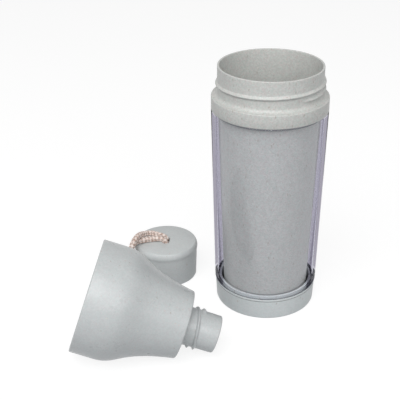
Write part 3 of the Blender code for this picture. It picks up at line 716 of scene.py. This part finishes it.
def waist(inset, low, high):
    """The curve from the skirt to the shoulder's end, drawn from the end down, set in by inset."""
    ends = ((MOUTH_RADIUS, SKIRT_HEIGHT), (MOUTH_RADIUS, SKIRT_HEIGHT + SKIRT_HANDLE),
            (SHOULDER_END_RADIUS + WAIST_HANDLE_RISE, SHOULDER_HEIGHT - WAIST_HANDLE),
            (SHOULDER_END_RADIUS, SHOULDER_HEIGHT))
    points = []
    for step in range(WAIST_STEPS, -1, -1):
        t = step / WAIST_STEPS
        shares = ((1 - t) ** 3, 3 * (1 - t) ** 2 * t, 3 * (1 - t) * t * t, t ** 3)
        radius = sum(share * end[0] for share, end in zip(shares, ends))
        height = sum(share * end[1] for share, end in zip(shares, ends))
        if low <= height <= high:
            points.append((radius - inset, height))
    return points


def spout_radius(height):
    """The spout's outer radius, which narrows a little from its root to its lip."""
    share = (height - SHOULDER_HEIGHT) / SPOUT_HEIGHT
    return SPOUT_ROOT_RADIUS + (SPOUT_LIP_RADIUS - SPOUT_ROOT_RADIUS) * share


def lay_down(piece):
    """Lay an upright shoulder piece down where the shoulder lies."""
    piece.location = SHOULDER_MOUTH
    piece.rotation_euler = (0, math.radians(90 + SHOULDER_SLOPE_DEGREES), 0)


outer_waist = waist(0, SKIRT_HEIGHT, SHOULDER_HEIGHT - 2 * END_ROUNDING)
inner_waist = [point for point in waist(SHOULDER_WALL, GASKET_SEAT_DEPTH, shoulder_plate)[::-1]
               if point[0] < ledge_inner]
shoulder = turn_profile("shoulder_with_spout", WIDE_SIDES, [
    (SPOUT_BORE_RADIUS, spout_tip, SPOUT_BORE_ROUNDING, 3),
    (SPOUT_LIP_RADIUS, spout_tip, SPOUT_TIP_ROUNDING, 5),
    (spout_radius(spout_thread_high), spout_thread_high),
    (spout_radius(spout_thread_low), spout_thread_low),
    (SPOUT_ROOT_RADIUS, SHOULDER_HEIGHT, SPOUT_ROOT_FILLET, 3),
    (SHOULDER_END_RADIUS, SHOULDER_HEIGHT, END_ROUNDING, 5),
    *outer_waist,
    (MOUTH_RADIUS, 0, MOUTH_ROUNDING, 3),
    (SKIRT_BORE, 0),
    (SKIRT_BORE, SKIRT_THREAD_LOW),
    (SKIRT_BORE, SKIRT_THREAD_HIGH),
    (SKIRT_BORE, GASKET_SEAT_DEPTH),
    (ledge_inner, GASKET_SEAT_DEPTH),
    *inner_waist,
    (inner_waist[-1][0] - SHOULDER_WALL, shoulder_plate),
    (SPOUT_BORE_RADIUS, shoulder_plate),
], tube=True)
raise_thread(shoulder, spout_radius, spout_thread_low, spout_thread_high, SPOUT_THREAD_ROWS, SPOUT_THREAD)
raise_thread(shoulder, straight(SKIRT_BORE), SKIRT_THREAD_LOW, SKIRT_THREAD_HIGH, THREAD_ROWS, SKIRT_THREAD)
lay_down(shoulder)
lid_straw = straw_plastic("blue-grey straw plastic", polish=0.5, Plastic=LID_STRAW, Husk_Share=0.06,
                          Rosy_Share=0.08, Speckle=0.09, Cloudiness=0.06, Dullness=0.30)
finish_piece(shoulder, lid_straw)
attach(shoulder, "shoulder")
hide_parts("shoulder")

# The flat silicone gasket against the ledge inside the shoulder, which the neck's rim presses on.
GASKET_THICKNESS = 0.0014
GASKET_WIDTH = 0.0026
gasket_outer = SKIRT_BORE - SEAT_GAP
gasket_top = GASKET_SEAT_DEPTH - SEAT_GAP
gasket = flat_ring("shoulder_gasket_ring", gasket_outer - GASKET_WIDTH, gasket_outer,
                   gasket_top - GASKET_THICKNESS, gasket_top)
lay_down(gasket)
finish_piece(gasket, milky_silicone)
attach(gasket, "gasket")
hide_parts("shoulder_gasket")

# The cap's outer cup, standing on its open end: the shoulder's plastic, painted lighter here as painted
# light, with a round-ended slot for the cord in the middle of its top. Its rim slopes over a soft shoulder
# and narrows again below it.
cap_low, cap_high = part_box("cap_shell")
CAP_PLACE = ((cap_low.x + cap_high.x) / 2, (cap_low.y + cap_high.y) / 2, 0)
CAP_HEIGHT = cap_high.z
CAP_TOP_RADIUS = (cap_high.x - cap_low.x) / 2
CAP_FOOT_RADIUS = 0.0214
CAP_TOP_ROUNDING = 0.0017
CAP_RIM_DROP = 0.0035
CAP_RIM_SLANT = 1.25
CAP_BEAD_HEIGHT = 0.0068
CAP_BEAD_DEPTH = 0.00022
CAP_RIM_STEPS = 8
CAP_FOOT_ROUNDING = 0.0007
CAP_TOP_WALL = 0.0011
CAP_SIDE_WALL = 0.0014
CAP_INNER_ROUNDING = 0.0006
CORD_SLOT_WIDTH = 0.0047
CORD_SLOT_LENGTH = 0.0090
CORD_SLOT_ROUNDING = 0.0008
CORD_SLOT_SIDES = 48
CAP_SIDES = 144
# painted light: the shoulder's blue-grey colour made lighter for the cap
CAP_PAINTED_LIGHTER = (0.556, 0.579, 0.579, 1.0)
cap_ceiling = CAP_HEIGHT - CAP_TOP_WALL
cap_foot_inner = CAP_FOOT_RADIUS - CAP_SIDE_WALL
cap_top_inner = CAP_TOP_RADIUS - CAP_SIDE_WALL
cap_top_flat = CAP_TOP_RADIUS - CAP_TOP_ROUNDING
cap_rim = []
for step in range(CAP_RIM_STEPS + 1):
    quarter = math.pi / 2 * step / CAP_RIM_STEPS
    cap_rim.append((cap_top_flat + CAP_TOP_ROUNDING * math.sin(quarter) ** CAP_RIM_SLANT,
                    CAP_HEIGHT - CAP_RIM_DROP * (1 - math.cos(quarter) ** CAP_RIM_SLANT)))
cap_bead_share = (CAP_HEIGHT - CAP_BEAD_HEIGHT) / CAP_HEIGHT
cap_bead_foot = CAP_FOOT_RADIUS + (CAP_TOP_RADIUS - CAP_FOOT_RADIUS) * cap_bead_share - CAP_BEAD_DEPTH
for step in range(1, CAP_RIM_STEPS + 1):
    share = step / CAP_RIM_STEPS
    cap_rim.append((CAP_TOP_RADIUS + (cap_bead_foot - CAP_TOP_RADIUS) * ease(share),
                    CAP_HEIGHT - CAP_RIM_DROP - (CAP_BEAD_HEIGHT - CAP_RIM_DROP) * share))

cap = turn_profile("cap_cup", CAP_SIDES, [
    *cap_rim,
    (CAP_FOOT_RADIUS, 0, CAP_FOOT_ROUNDING, 4),
    (cap_foot_inner, 0),
    (cap_top_inner, cap_ceiling, CAP_INNER_ROUNDING, 3),
])
finish_piece(cap)

bpy.ops.mesh.primitive_cylinder_add(vertices=CORD_SLOT_SIDES, radius=CORD_SLOT_WIDTH / 2,
                                    depth=4 * CAP_TOP_WALL, location=(0, 0, CAP_HEIGHT - CAP_TOP_WALL / 2))
slot_cutter = bpy.context.object
slot_half_run = (CORD_SLOT_LENGTH - CORD_SLOT_WIDTH) / 2
for vert in slot_cutter.data.vertices:
    if abs(vert.co.y) > TOUCH:
        vert.co.y += math.copysign(slot_half_run, vert.co.y)
cut = cap.modifiers.new("cord slot", "BOOLEAN")
cut.object = slot_cutter
bpy.context.view_layer.objects.active = cap
bpy.ops.object.modifier_apply(modifier=cut.name)
bpy.data.objects.remove(slot_cutter)
cap.select_set(True)
bpy.ops.object.mode_set(mode="EDIT")
pick_edges(cap, lambda low, high: low[1] > CAP_HEIGHT - TOUCH and max(low[0], high[0]) < CORD_SLOT_LENGTH)
bpy.ops.mesh.bevel(offset=CORD_SLOT_ROUNDING, segments=4, affect="EDGES")
cap.location = CAP_PLACE
# Painted light: the cap's copy of the shoulder's plastic is lighter than the shoulder's.
lit_cap_straw = straw_plastic("blue-grey straw plastic painted lighter for the cap", polish=0.3, Plastic=CAP_PAINTED_LIGHTER, Husk_Share=0.05,
                          Rosy_Share=0.07, Speckle=0.07, Cloudiness=0.06, Dullness=0.38)
finish_piece(cap, lit_cap_straw)
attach(cap, "cap")
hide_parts("cap_shell")

# The threaded cup inside the cap: the liner's plastic, pressed in from below, with a foot flange and
# a well in its plate for the cord's knot.
INSERT_BORE = 0.01385
INSERT_SKIRT_WALL = 0.0014
INSERT_PLATE = 0.0026
INSERT_ROUNDING = 0.0006
INSERT_FLANGE_THICKNESS = 0.0014
INSERT_FLANGE_HEIGHT = 0.0008
WELL_RADIUS = 0.0065
WELL_WALL = 0.0010
WELL_FLOOR_HEIGHT = 0.0135
WELL_ROUNDING = 0.0006
INSERT_THREAD_HIGH = 0.0125
INSERT_THREAD = {"starts": 2, "first_turn": 0, "first_height": 0.0042, "lead": 0.0082, "span": 230,
                 "depth": -0.0009, "half_width": 0.0010, "run_out": 26}
insert_top = cap_ceiling - SEAT_GAP
insert_plate = insert_top - INSERT_PLATE
insert_skirt = INSERT_BORE + INSERT_SKIRT_WALL
flange_radius = cap_foot_inner - SEAT_GAP
flange_top = INSERT_FLANGE_HEIGHT + INSERT_FLANGE_THICKNESS
well_outer = WELL_RADIUS + WELL_WALL
well_bottom = WELL_FLOOR_HEIGHT - WELL_WALL
insert_thread_low = INSERT_FLANGE_HEIGHT + 2 * INSERT_ROUNDING

insert = turn_profile("cap_threaded_cup", CAP_SIDES, [
    (WELL_RADIUS, WELL_FLOOR_HEIGHT, WELL_ROUNDING, 3),
    (WELL_RADIUS, insert_top),
    (insert_skirt, insert_top, INSERT_ROUNDING, 3),
    (insert_skirt, flange_top),
    (flange_radius, flange_top),
    (flange_radius, INSERT_FLANGE_HEIGHT),
    (INSERT_BORE, INSERT_FLANGE_HEIGHT, INSERT_ROUNDING, 3),
    (INSERT_BORE, insert_thread_low),
    (INSERT_BORE, INSERT_THREAD_HIGH),
    (INSERT_BORE, insert_plate),
    (well_outer, insert_plate),
    (well_outer, well_bottom, WELL_ROUNDING, 3),
])
raise_thread(insert, straight(INSERT_BORE), insert_thread_low, INSERT_THREAD_HIGH, SPOUT_THREAD_ROWS,
             INSERT_THREAD)
insert.location = CAP_PLACE
insert_straw = straw_plastic("insert straw plastic", polish=0.3, Plastic=PALE_STRAW, Husk_Share=0.20,
                             Rosy_Share=0.20, Speckle=0.12, Cloudiness=0.10, Dullness=0.46)
finish_piece(insert, insert_straw)
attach(insert, "cap")
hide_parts("cap_insert")

# The soft ring under the insert's plate, round the well, which the spout's tip presses on.
CAP_SEAL_CLEARANCE = 0.0005
cap_seal_low, cap_seal_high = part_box("cap_seal")
cap_seal = flat_ring("cap_seal_ring", well_outer + CAP_SEAL_CLEARANCE, INSERT_BORE - CAP_SEAL_CLEARANCE,
                     cap_seal_low.z, cap_seal_high.z)
cap_seal.location = CAP_PLACE
finish_piece(cap_seal, milky_silicone)
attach(cap_seal, "seal")
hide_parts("cap_seal")

# The carrying loop: 3.9 mm braided cotton cord, four broad cream yarns wound one way over and under
# four fine rosy ones. Both ends come out of the cap's slot; the loop falls over the edge to the table.
CORD_DIAMETER = 0.0039
CORD_CLIMB = 0.0104
YARNS_EACH_WAY = 4
BRAID_TURN_DEGREES = 22.5
BROAD_YARN = 0.00205
FINE_YARN = 0.00120
YARN_THICKNESS = 0.00105
YARN_RISE = 0.00030
YARN_MIDDLE = 0.00135
YARN_SIDES = 10
YARN_UV_WIDTH = 0.9
YARN_SHIFT = 0.25
CORE_RADIUS = 0.0011
CORD_STEP = 0.00034
DEEP_LAY = 0.00130
PROUD_LAY = 0.00190
CURVE_STEPS = 24
FIRST_SIDE = (0.3, 0.2, 0.9)
COTTON_CREAM = ((0.84, 0.73, 0.67, 1.0), (0.98, 0.92, 0.88, 1.0))
COTTON_ROSY = ((0.40, 0.25, 0.19, 1.0), (0.66, 0.46, 0.39, 1.0))
# painted shade: brown along each yarn's flanks and dark brown where the cord lies deep between its yarns
COTTON_FLANK_SHADE = (0.36, 0.21, 0.155, 1.0)
COTTON_DEEP_SHADE = (0.15, 0.095, 0.06, 1.0)
ROSY_EVERYWHERE = 0.10
ROSY_IN_PATCHES = 0.45
ROSY_WHERE_DYED = 0.38
PATCH_SCALE = 520
PATCH_EDGE = (0.50, 0.62)
FIBRE_SCALE = 4.0
FIBRE_LEAN = 3.0
FIBRE_TWIST = 2.6
FIBRE_LENGTH = 1.4
FLANK_EDGE = (0.12, 0.21)
FLANK_SHADE_STRENGTH = 0.58
COTTON_DULLNESS = 0.85
FIBRE_DULLNESS = 0.1
COTTON_RELIEF_STRENGTH = 0.6
COTTON_RELIEF_DEPTH = 0.00012
COTTON_POLISH = 0.2
COTTON_SHEEN = 0.25
# the cord's route, from the middle of the cap's foot
CORD_START = (0, 0.0021, 0.0250)
CORD_END = (0, -0.0021, 0.0250)
CORD_ROUTE = (
    (-0.0002, 0.0021, 0.0262), (-0.0010, 0.0021, 0.0274), (-0.0023, 0.0020, 0.0282),
    (-0.0043, 0.0021, 0.0288), (-0.0072, 0.0028, 0.0293), (-0.0104, 0.0032, 0.0297),
    (-0.0135, 0.0022, 0.0301), (-0.0160, -0.0004, 0.0310), (-0.0178, -0.0040, 0.0323),
    (-0.0192, -0.0084, 0.0332), (-0.0207, -0.0124, 0.0324), (-0.0221, -0.0154, 0.0300),
    (-0.0233, -0.0174, 0.0260), (-0.0242, -0.0184, 0.0188), (-0.0254, -0.0190, 0.0110),
    (-0.0274, -0.0196, 0.0065), (-0.0305, -0.0203, 0.0034), (-0.0341, -0.0204, 0.0022),
    (-0.0377, -0.0193, 0.0021), (-0.0405, -0.0168, 0.0021), (-0.0417, -0.0132, 0.0021),
    (-0.0412, -0.0094, 0.0021), (-0.0390, -0.0063, 0.0021), (-0.0356, -0.0048, 0.0023),
    (-0.0318, -0.0051, 0.0036), (-0.0286, -0.0064, 0.0066), (-0.0265, -0.0078, 0.0110),
    (-0.0249, -0.0087, 0.0186), (-0.0237, -0.0086, 0.0242), (-0.0220, -0.0079, 0.0274),
    (-0.0188, -0.0066, 0.0286), (-0.0152, -0.0048, 0.0285), (-0.0116, -0.0031, 0.0284),
    (-0.0080, -0.0023, 0.0284), (-0.0046, -0.0021, 0.0286), (-0.0023, -0.0021, 0.0282),
    (-0.0010, -0.0021, 0.0274), (-0.0002, -0.0021, 0.0262),
)


def smooth_line(corners, step):
    """Points about a step apart on a smooth curve through the corners."""
    corners = np.array(corners, float)
    before = np.vstack((2 * corners[0] - corners[1], corners[:-1]))
    after = np.vstack((corners[1:], 2 * corners[-1] - corners[-2]))
    leaning = (after - before) / 2
    dense = []
    for here, there, lean, next_lean in zip(corners, corners[1:], leaning, leaning[1:]):
        for t in np.linspace(0, 1, CURVE_STEPS, endpoint=False):
            rest = 1 - t
            point = (1 + 2 * t) * rest * rest * here + t * rest * rest * lean
            dense.append(point + t * t * (3 - 2 * t) * there - t * t * rest * next_lean)
    dense = np.array(dense + [corners[-1]])
    along = np.concatenate(([0], np.cumsum(np.linalg.norm(np.diff(dense, axis=0), axis=1))))
    marks = np.linspace(0, along[-1], int(along[-1] / step) + 1)
    return marks, np.stack([np.interp(marks, along, dense[:, axis]) for axis in range(3)], axis=1)


def carried_frames(line):
    """A side and an up direction at each point, carried along the line without twist."""
    ahead = np.gradient(line, axis=0)
    ahead /= np.linalg.norm(ahead, axis=1)[:, None]
    side = np.cross(ahead[0], FIRST_SIDE)
    sides = []
    for way in ahead:
        side = side - way * side.dot(way)
        side /= np.linalg.norm(side)
        sides.append(side.copy())
    return np.array(sides), np.cross(ahead, sides)


def start_cord():
    """An empty mesh under construction, with a UV layer for its yarns."""
    builder = bmesh.new()
    builder.loops.layers.uv.new("yarn")
    return builder


def add_strand(builder, centres, across, outward, half_width, half_depth, marks, tone):
    """Add one flattened tube along its centres, closed at both ends, with its lengths as UV."""
    uv_layer = builder.loops.layers.uv["yarn"]
    angles = [math.tau * k / YARN_SIDES for k in range(YARN_SIDES)]
    rings = []
    for centre, right, out in zip(centres, across, outward):
        ring = [centre + right * half_width * math.cos(a) + out * half_depth * math.sin(a) for a in angles]
        rings.append([builder.verts.new(point) for point in ring])
    for i, (ring, after) in enumerate(zip(rings, rings[1:])):
        for k in range(YARN_SIDES):
            beside = (k + 1) % YARN_SIDES
            face = builder.faces.new((ring[k], ring[beside], after[beside], after[k]))
            for loop, side, place in zip(face.loops, (k, k + 1, k + 1, k), (i, i, i + 1, i + 1)):
                loop[uv_layer].uv = (tone + YARN_UV_WIDTH * side / YARN_SIDES, marks[place] / CORD_DIAMETER)
    for ring, length in ((rings[0], marks[0]), (rings[-1], marks[-1])):
        for loop in builder.faces.new(ring).loops:
            loop[uv_layer].uv = (tone, length / CORD_DIAMETER)


def finish_cord(builder, name, line, deep, proud):
    """Make the strands one smooth cotton piece that notes how far each point stands out, from 0 to 1."""
    bmesh.ops.recalc_face_normals(builder, faces=builder.faces)
    mesh = bpy.data.meshes.new(name)
    builder.to_mesh(mesh)
    builder.free()
    for face in mesh.polygons:
        face.use_smooth = True
    gaps = np.array([np.linalg.norm(line - np.array(vert.co), axis=1).min() for vert in mesh.vertices])
    # how far each point stands out, which the cotton's painted shade reads
    layer = mesh.attributes.new("proud", "FLOAT", "POINT")
    layer.data.foreach_set("value", np.clip((gaps - deep) / (proud - deep), 0, 1))
    mesh.materials.append(cotton_cord)
    piece = bpy.data.objects.new(name, mesh)
    bpy.context.scene.collection.objects.link(piece)
    return piece


def cotton(name):
    """Cotton yarn: twisted cream fibres with rosy ones among them, with painted shade along each yarn's
    flanks and where it lies deep.
    """
    finish, tree, shader = new_finish(name)
    lengths = add_node(tree, "UVMap", {"uv_map": "yarn"}).outputs["UV"]
    across, along, _ = add_node(tree, "SeparateXYZ", Vector=lengths).outputs
    yarn = reckon(tree, "FLOOR", across)
    twist = reckon(tree, "MULTIPLY_ADD", along, FIBRE_TWIST, reckon(tree, "MULTIPLY", across, FIBRE_LEAN))
    laid = add_node(tree, "CombineXYZ", X=twist, Y=reckon(tree, "MULTIPLY", along, FIBRE_LENGTH), Z=yarn)
    fibre = add_node(tree, "TexNoise", Vector=laid.outputs[0], Scale=FIBRE_SCALE, Detail=3, Roughness=0.7)
    fibre = fibre.outputs["Fac"]
    place = add_node(tree, "TexCoord").outputs["Object"]
    patch = add_node(tree, "TexNoise", Vector=place, Scale=PATCH_SCALE, Detail=1).outputs["Fac"]
    patch = ramp(tree, patch, *PATCH_EDGE, kind="LINEAR")
    share = reckon(tree, "MULTIPLY_ADD", patch, ROSY_IN_PATCHES, ROSY_EVERYWHERE)
    dyed = reckon(tree, "LESS_THAN", yarn, YARNS_EACH_WAY - 0.5)
    share = reckon(tree, "MULTIPLY_ADD", dyed, ROSY_WHERE_DYED, share)
    colour = tint(tree, share, tint(tree, fibre, *COTTON_CREAM), tint(tree, fibre, *COTTON_ROSY))
    crest = YARN_UV_WIDTH / 4
    beside = reckon(tree, "ABSOLUTE", reckon(tree, "SUBTRACT", reckon(tree, "FRACT", across), crest))
    # painted shade along each yarn's flanks, away from its crest
    colour = tint(tree, ramp(tree, beside, *FLANK_EDGE, 0.0, FLANK_SHADE_STRENGTH), colour, COTTON_FLANK_SHADE)
    proud = add_node(tree, "Attribute", {"attribute_name": "proud"}).outputs["Fac"]
    # painted shade where the cord lies deep between its yarns
    colour = tint(tree, ramp(tree, proud, 0.0, 1.0, 1.0, 0.0), colour, COTTON_DEEP_SHADE)
    relief = add_node(tree, "Bump", Height=fibre, Strength=COTTON_RELIEF_STRENGTH,
                      Distance=COTTON_RELIEF_DEPTH)
    fill(tree, shader, Base_Color=colour, Normal=relief.outputs[0], Specular_IOR_Level=COTTON_POLISH,
         Sheen_Weight=COTTON_SHEEN,
         Roughness=reckon(tree, "MULTIPLY_ADD", fibre, FIBRE_DULLNESS, COTTON_DULLNESS))
    return finish


cotton_cord = cotton("braided cotton")
corners = [Vector(CAP_PLACE) + Vector(point) for point in (CORD_START, *CORD_ROUTE, CORD_END)]
marks, line = smooth_line(corners, CORD_STEP)
sideways, upward = carried_frames(line)
builder = start_cord()
for way, yarn_width in ((-1, BROAD_YARN), (1, FINE_YARN)):
    for number in range(YARNS_EACH_WAY):
        turn = way * math.tau * marks / CORD_CLIMB + math.tau * (number + YARN_SHIFT * way) / YARNS_EACH_WAY
        turn += math.radians(BRAID_TURN_DEGREES)
        weave = np.cos(2 * YARNS_EACH_WAY * math.pi * marks / CORD_CLIMB) * way
        outward = sideways * np.cos(turn)[:, None] + upward * np.sin(turn)[:, None]
        centres = line + outward * (YARN_MIDDLE + YARN_RISE * weave)[:, None]
        heading = np.gradient(centres, axis=0)
        heading /= np.linalg.norm(heading, axis=1)[:, None]
        across = np.cross(heading, outward)
        across /= np.linalg.norm(across, axis=1)[:, None]
        tone = number + (YARNS_EACH_WAY if way < 0 else 0)
        add_strand(builder, centres, across, outward, yarn_width / 2, YARN_THICKNESS / 2, marks, tone)
add_strand(builder, line, sideways, upward, CORE_RADIUS, CORE_RADIUS, marks, 2 * YARNS_EACH_WAY)
cord = finish_cord(builder, "carry_loop_cord", line, DEEP_LAY, PROUD_LAY)
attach(cord, "cap")
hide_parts("carry_loop")

# The stopper knot in the insert's well: the cord's two ends tied together and pulled up under the
# cap's top, which holds the loop.
knot_low, knot_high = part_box("loop_knot")
knot_middle = (knot_low + knot_high) / 2
knot_half = (knot_high - knot_low) / 2
KNOT_WRAPS = 3
KNOT_YARN_DIAMETER = 0.0029
KNOT_STEPS = 150
KNOT_END_SHARE = 0.55
knot_yarn_radius = KNOT_YARN_DIAMETER / 2
knot_line = []
for step in range(KNOT_STEPS + 1):
    share = step / KNOT_STEPS
    turn = math.tau * KNOT_WRAPS * share
    swell = KNOT_END_SHARE + (1 - KNOT_END_SHARE) * math.sin(math.pi * share)
    reach = (knot_half.x - knot_yarn_radius) * swell
    lift = (knot_half.z - knot_yarn_radius) * (2 * share - 1)
    knot_line.append(knot_middle + Vector((reach * math.cos(turn), reach * math.sin(turn), lift)))
knot_line = np.array(knot_line)
knot_marks = np.concatenate(([0], np.cumsum(np.linalg.norm(np.diff(knot_line, axis=0), axis=1))))
knot_side, knot_up = carried_frames(knot_line)
knot_builder = start_cord()
add_strand(knot_builder, knot_line, knot_side, knot_up, knot_yarn_radius, knot_yarn_radius, knot_marks, 0)
knot = finish_cord(knot_builder, "stopper_knot", knot_line, 0, knot_yarn_radius)
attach(knot, "cap")
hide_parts("loop_knot")
